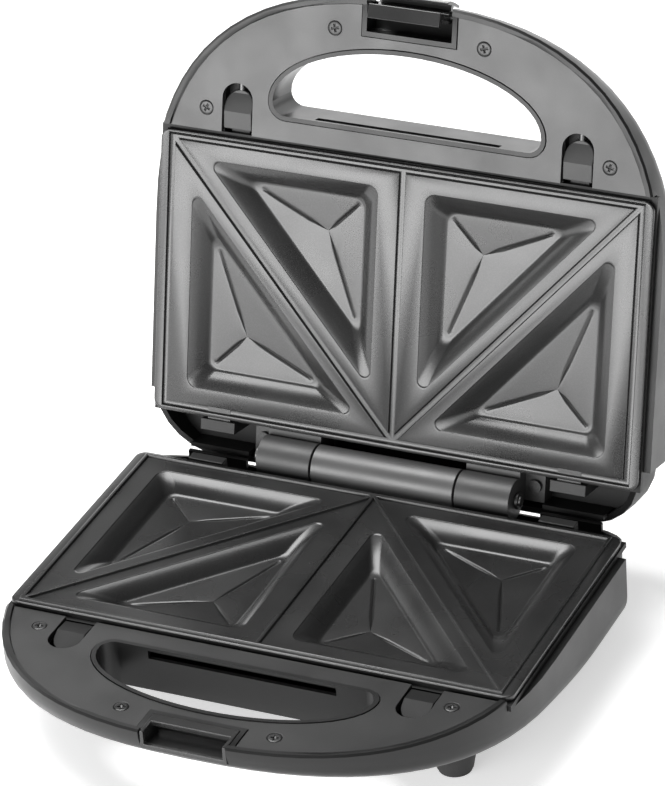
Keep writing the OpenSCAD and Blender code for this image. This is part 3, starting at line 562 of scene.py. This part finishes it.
# %% One half of a plate's top
def add_pocket(drawing, cell, pocket, profile):
    offsets = [offset for offset, _ in crease_profile]
    steps = len(offsets)
    rounded_below, crease_from, crease_over, tip_fade = 0.13, 0.05, 0.22, 9
    centre, radius = centre_of(pocket)

    def lift(ring, z):
        return [(p.x, p.y, top + z) for p in ring]

    rings = []
    for part in (0.97, 0.88, 0.7, 0.5, 0.3, 0.21, 0.13, 0.05, 0.015):
        inset = wall_lean + (radius - wall_lean) * part
        depth = wall_h + (pocket_h - wall_h) * part
        sharpness = min(1, part / rounded_below)
        fade = min(max(0, (part - crease_from) / crease_over), (1 - part) * tip_fade, 1)
        pairs = zip(round_ring(pocket, inset, steps), floor_ring(pocket, inset, offsets))
        ring = [soft.lerp(sharp, sharpness) for soft, sharp in pairs]
        rings.append([(p.x, p.y, top - depth + crease_profile[j % steps][1] * fade)
                      for j, p in enumerate(ring)])
    tip = drawing.verts.new((centre.x, centre.y, top - pocket_h))
    for inset, depth in wall_profile():
        rings.append(lift(round_ring(pocket, inset, steps), -depth))
    for inset, z in lip_profile:
        rings.append(lift(round_ring(pocket, inset, steps), z))
    for inset, z in reversed(profile):
        rings.append(lift(drawn_in(cell, inset, steps), z))
    first = loft(drawing, rings)[0]
    for j, vertex in enumerate(first):
        drawing.faces.new((tip, first[(j + 1) % len(first)], vertex))


def add_border(drawing, profile):
    bend, steps = 4.5, 7

    def path(x, rear, far, radius):
        corners = []
        for start, cx, cy in ((90, x - radius, far - radius), (0, x - radius, rear + radius)):
            angles = [radians(start - 90 * m / (steps - 1)) for m in range(steps)]
            corners += [(cx + radius * cos(angle), cy + radius * sin(angle)) for angle in angles]
        return [(0, far)] + corners + [(0, rear)]

    rings = [[(x, y, top + z) for x, y in path(bead_x + inset, bead_rear - inset, bead_far + inset, 0)]
             for inset, z in profile]
    for inset, z in rim_profile:
        outline = path(plate_half - inset, inset, plate_l - inset, bend - inset)
        rings.append([(x, y, top + z) for x, y in outline])
    loft(drawing, rings, closed=False)


# %% Both plates
def add_skirt(drawing):
    half, rear, front, wall = 109.4, 3.4, 128.3, 1.6
    high, low = 2.9, 9
    slot_x, slot_depth = (76.5, 86.1), (5.7, 8.3)  # where a release tongue's nose goes in
    for x in ((-half, wall - half), (half - wall, half)):
        add_block(drawing, x, (rear, front), (high, low))
    add_block(drawing, (-half, half), (rear, rear + wall), (high, low))
    for x in ((-half, -slot_x[1]), (-slot_x[0], slot_x[0]), (slot_x[1], half)):
        add_block(drawing, x, (front - wall, front), (high, low))
    for x in ((-slot_x[1], -slot_x[0]), slot_x):
        for depth in ((high, slot_depth[0]), (slot_depth[1], low)):
            add_block(drawing, x, (front - wall, front), depth)


def add_rear_tabs(drawing):
    tab_x, tab_y, tab_depth = (80.0, 91.0), (-3, 4.5), (1.6, 3)
    for side in (-1, 1):
        add_block(drawing, sorted((side * tab_x[0], side * tab_x[1])), tab_y, tab_depth)


def evaluated_mesh(thing):
    return bpy.data.meshes.new_from_object(thing.evaluated_get(bpy.context.evaluated_depsgraph_get()))


def make_plate(name, body, node, slot, profile):
    drawing = bmesh.new()
    for cell, pocket in cells.values():
        add_pocket(drawing, cell, pocket, profile)
    add_border(drawing, profile)
    half = drawing.faces[:] + drawing.edges[:] + drawing.verts[:]
    copy = bmesh.ops.duplicate(drawing, geom=half)["geom"]
    bmesh.ops.scale(drawing, vec=(-1, 1, 1), verts=[v for v in copy if isinstance(v, bmesh.types.BMVert)])
    bmesh.ops.remove_doubles(drawing, verts=drawing.verts, dist=weld)
    bmesh.ops.recalc_face_normals(drawing, faces=drawing.faces)
    if sum(face.normal.z for face in drawing.faces) < 0:
        bmesh.ops.reverse_faces(drawing, faces=drawing.faces)
    skin = bpy.data.meshes.new(name + "_skin")
    drawing.to_mesh(skin)
    drawing.free()
    carrier = new_object(name + "_skin", skin)
    shell = carrier.modifiers.new("wall", "SOLIDIFY")
    shell.thickness = plate_wall
    shell.offset = -1
    thick = evaluated_mesh(carrier)
    drawing = bmesh.new()
    drawing.from_mesh(thick)
    bpy.data.objects.remove(carrier)
    bpy.data.meshes.remove(skin)
    bpy.data.meshes.remove(thick)
    add_skirt(drawing)
    add_rear_tabs(drawing)
    return piece_from(drawing, name, body, node, slot, angle=35)


lower = make_plate("lower_grill_plate", "root", "lower_plate", "lower_coating", bead_profile)
upper = make_plate("upper_grill_plate", "lid", "upper_plate", "upper_coating", groove_profile)
print("wall from foot to lip:", [(round(i, 1), round(d, 1)) for i, d in wall_profile()[::4]])
print("plates:", len(lower.data.polygons), "and", len(upper.data.polygons), "faces")

# %% [markdown]
# ## Softened mouldings
#
# The working model's solids have knife edges. A moulded or pressed piece never has: each edge is
# rounded by a few tenths of a millimetre, and that thin round is what catches the light. The
# model's own triangles are merged, flat neighbours are joined into one face, and a narrow bevel
# rounds whatever still turns sharply. Weighted normals keep the wide faces flat. The two covers are
# round already, so they get no bevel.

# %% Round a node's edges
same_point = 2e-6  # metres, as in the working model's meshes
flat_turn, sharp_turn = 0.6, 32  # degrees


def soften(node, width):
    source = nodes[node]
    drawing = bmesh.new()
    drawing.from_mesh(source.data)
    bmesh.ops.remove_doubles(drawing, verts=drawing.verts, dist=same_point)
    bmesh.ops.dissolve_limit(drawing, angle_limit=radians(flat_turn), verts=drawing.verts,
                             edges=drawing.edges, delimit={"NORMAL"})
    mesh = bpy.data.meshes.new(node + "_soft")
    drawing.to_mesh(mesh)
    drawing.free()
    smooth(mesh, sharp_turn)
    mesh.materials.append(materials[slot_of[node]])
    piece = new_object(node + "_soft", mesh)
    if width:
        bevel = piece.modifiers.new("edges", "BEVEL")
        bevel.width = width * mm
        bevel.segments = 2
        bevel.limit_method = "ANGLE"
        bevel.angle_limit = radians(sharp_turn)
    weights = piece.modifiers.new("normals", "WEIGHTED_NORMAL")
    weights.keep_sharp = True
    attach(piece, body_of(source)[0])
    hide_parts(node)


# %% Soften the visible mouldings, each by its own width in millimetres
edge_widths = {
    "base_cover": 0, "lid_cover": 0, "base_housing": 0.25, "lid_housing": 0.25,
    "base_panel": 0.3, "lid_panel": 0.3, "base_hinge": 0.5, "lid_hinge_arms": 0.5,
    "base_rear_clips": 0.3, "lid_rear_clips": 0.3, "base_catch": 0.25, "latch_lever": 0.3,
    "lower_release_left": 0.35, "lower_release_right": 0.35,
    "upper_release_left": 0.35, "upper_release_right": 0.35,
    "front_feet": 0.4, "rear_feet": 0.4, "foot_pads": 0.3, "hinge_pin": 0.3,
}
for node, width in edge_widths.items():
    soften(node, width)
print("softened:", len(edge_widths))

# %% [markdown]
# ## The panel screws
#
# Four small countersunk screws hold each handle panel. They are one screw, repeated, so Geometry
# Nodes set copies of it on a few points and give each its own turn, as a screwdriver leaves it. The
# screw itself is a lathe shape whose top rings are pressed down where they fall in the cross.

# %% One screw, in millimetres, with its head at z = 0
def make_screw(head, shank, length, cross_l=1.75, cross_w=0.5, cross_h=0.9, around=72):
    drawing = bmesh.new()
    ring_gap, cross_rings = 0.15, 13
    profile = [(ring_gap * step, 0.0) for step in range(1, cross_rings + 1)]
    profile += [(head * 0.75, 0), (head * 0.9, -0.04), (head * 0.97, -0.14), (head, -0.34),
                (shank, -1.9), (shank, -length)]
    rings = []
    for r, z in profile:
        ring = []
        for step in range(around):
            turn = 2 * pi * step / around
            x, y = r * cos(turn), r * sin(turn)
            inside = min(abs(x), abs(y)) < cross_w and max(abs(x), abs(y)) < cross_l
            ring.append((x, y, z - cross_h * inside * (1 - 0.5 * r / cross_l)))
        rings.append(ring)
    rows = loft(drawing, rings)
    tip, end = drawing.verts.new((0, 0, -cross_h)), drawing.verts.new((0, 0, -length))
    for j in range(around):
        k = (j + 1) % around
        drawing.faces.new((tip, rows[0][k], rows[0][j]))
        drawing.faces.new((end, rows[-1][j], rows[-1][k]))
    mesh = bpy.data.meshes.new("screw")
    bmesh.ops.recalc_face_normals(drawing, faces=drawing.faces)
    drawing.to_mesh(mesh)
    drawing.free()
    return new_object("screw", mesh)


# %% A tree that repeats a piece on points
def build_repeat_tree():
    tree = bpy.data.node_groups.new("repeat_on_points", "GeometryNodeTree")
    face = tree.interface
    face.new_socket("Points", in_out="INPUT", socket_type="NodeSocketGeometry")
    sockets = {title: face.new_socket(title, in_out="INPUT", socket_type=kind).identifier
               for title, kind in (("Piece", "NodeSocketObject"), ("Scale", "NodeSocketFloat"),
                                   ("Largest Turn", "NodeSocketFloat"), ("Seed", "NodeSocketInt"),
                                   ("Finish", "NodeSocketMaterial"))}
    face.new_socket("Geometry", in_out="OUTPUT", socket_type="NodeSocketGeometry")
    inside, outside = tree.nodes.new("NodeGroupInput"), tree.nodes.new("NodeGroupOutput")
    info = tree.nodes.new("GeometryNodeObjectInfo")
    place = tree.nodes.new("GeometryNodeInstanceOnPoints")
    turn = tree.nodes.new("FunctionNodeRandomValue")
    axis = tree.nodes.new("ShaderNodeCombineXYZ")
    real = tree.nodes.new("GeometryNodeRealizeInstances")
    coat = tree.nodes.new("GeometryNodeSetMaterial")
    link = tree.links.new
    link(inside.outputs["Piece"], info.inputs["Object"])
    link(inside.outputs["Largest Turn"], turn.inputs[3])
    link(inside.outputs["Seed"], turn.inputs["Seed"])
    link(turn.outputs[1], axis.inputs["Z"])
    link(inside.outputs["Points"], place.inputs["Points"])
    link(info.outputs["Geometry"], place.inputs["Instance"])
    link(axis.outputs["Vector"], place.inputs["Rotation"])
    link(inside.outputs["Scale"], place.inputs["Scale"])
    link(place.outputs["Instances"], real.inputs["Geometry"])
    link(real.outputs["Geometry"], coat.inputs["Geometry"])
    link(inside.outputs["Finish"], coat.inputs["Material"])
    link(coat.outputs["Geometry"], outside.inputs["Geometry"])
    return tree, sockets


repeat_tree, repeat_sockets = build_repeat_tree()


# %% Repeat a piece and keep the result as a drawing
def repeated(piece, points, slot, scale, turn, seed):
    mesh = bpy.data.meshes.new("points")
    mesh.from_pydata(points, [], [])
    carrier = new_object("points", mesh)
    modifier = carrier.modifiers.new("repeat", "NODES")
    modifier.node_group = repeat_tree
    for title, value in (("Piece", piece), ("Scale", scale), ("Largest Turn", turn), ("Seed", seed),
                         ("Finish", materials[slot])):
        modifier[repeat_sockets[title]] = value
    result = evaluated_mesh(carrier)
    drawing = bmesh.new()
    drawing.from_mesh(result)
    bpy.data.objects.remove(carrier)
    bpy.data.objects.remove(piece)
    bpy.data.meshes.remove(result)
    return drawing


# %% The panel screws of both halves
screw_xy = [(96.4, 144.4), (35.4, 188.9)]
head_z = -1.22
first_seed = 3
screw_places = [(side * x, y, head_z) for side in (-1, 1) for x, y in screw_xy]
screw_sets = [("root", "base_panel_screws"), ("lid", "lid_panel_screws")]
for seed, (body, node) in enumerate(screw_sets, first_seed):
    screw = make_screw(head=3.1, shank=1.5, length=11.1)
    drawing = repeated(screw, screw_places, "screw_steel", scale=1.0, turn=pi / 2, seed=seed)
    screws = piece_from(drawing, node + "_turned", body, node, "screw_steel", angle=30)
    print(screws.name, len(screws.data.polygons), "faces")
